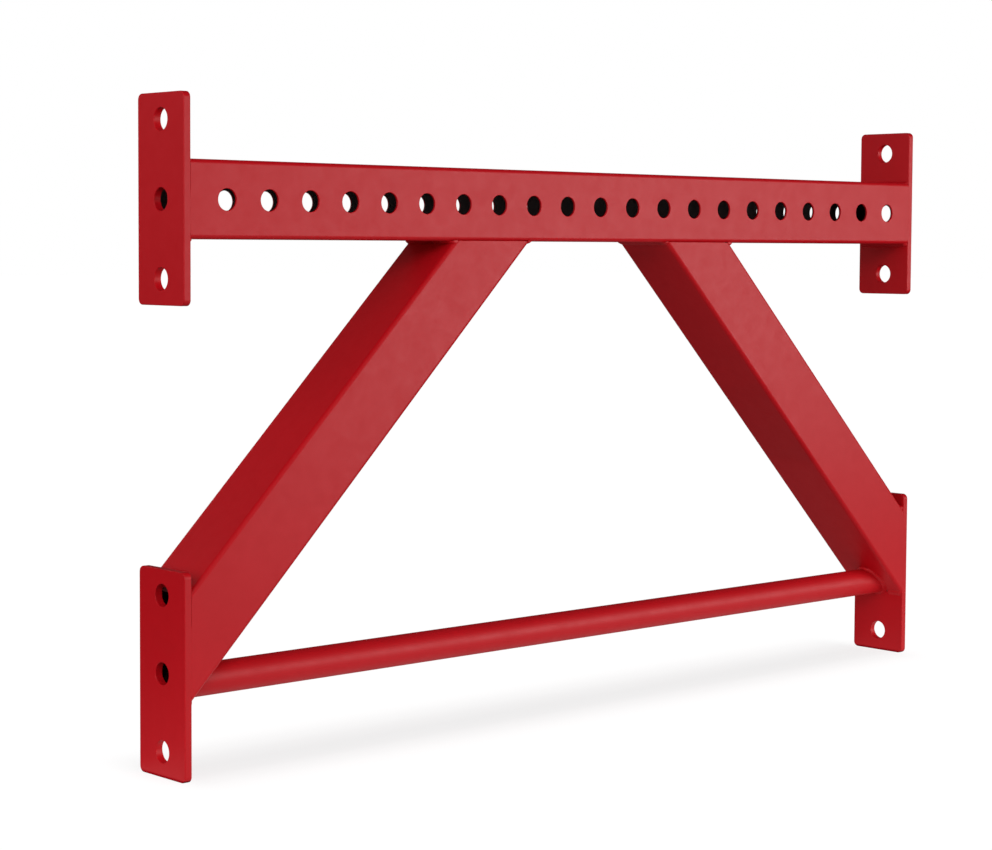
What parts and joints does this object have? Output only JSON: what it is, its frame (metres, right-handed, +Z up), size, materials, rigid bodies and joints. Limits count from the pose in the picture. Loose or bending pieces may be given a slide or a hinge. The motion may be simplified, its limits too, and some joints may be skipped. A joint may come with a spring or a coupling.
{
  "type": "pull up bar",
  "caption": "Welded pull-up cross-member for a training rig: drilled square beam, end plates, two 45 degree braces and a round grip bar between the braces.",
  "frame": {"origin": "middle of the length and depth, at the height of the lower plates' bottom edges", "axes": "+X along the beam to the right, +Z up, -Y towards the front face"},
  "size_m": [1.1, 0.075, 0.65],
  "materials": {
    "red_powder_coat": "satin red powder coat on steel, fine texture",
    "red_weld": "weld bead under satin red powder coat"
  },
  "bodies": {
    "root": {"top_beam": "red_powder_coat", "upper_left_plate": "red_powder_coat", "upper_right_plate": "red_powder_coat", "lower_left_plate": "red_powder_coat", "lower_right_plate": "red_powder_coat", "left_brace": "red_powder_coat", "right_brace": "red_powder_coat", "pull_up_bar": "red_powder_coat", "upper_left_top_weld": "red_weld", "upper_left_under_weld": "red_weld", "upper_left_seam_weld": "red_weld", "upper_right_top_weld": "red_weld", "upper_right_under_weld": "red_weld", "upper_right_seam_weld": "red_weld", "left_head_outer_weld": "red_weld", "left_head_inner_weld": "red_weld", "left_head_seam_weld": "red_weld", "right_head_outer_weld": "red_weld", "right_head_inner_weld": "red_weld", "right_head_seam_weld": "red_weld", "left_bar_weld": "red_weld", "right_bar_weld": "red_weld", "left_foot_upper_weld": "red_weld", "left_foot_lower_weld": "red_weld", "left_foot_seam_weld": "red_weld", "right_foot_upper_weld": "red_weld", "right_foot_lower_weld": "red_weld", "right_foot_seam_weld": "red_weld"}
  },
  "joints": []
}
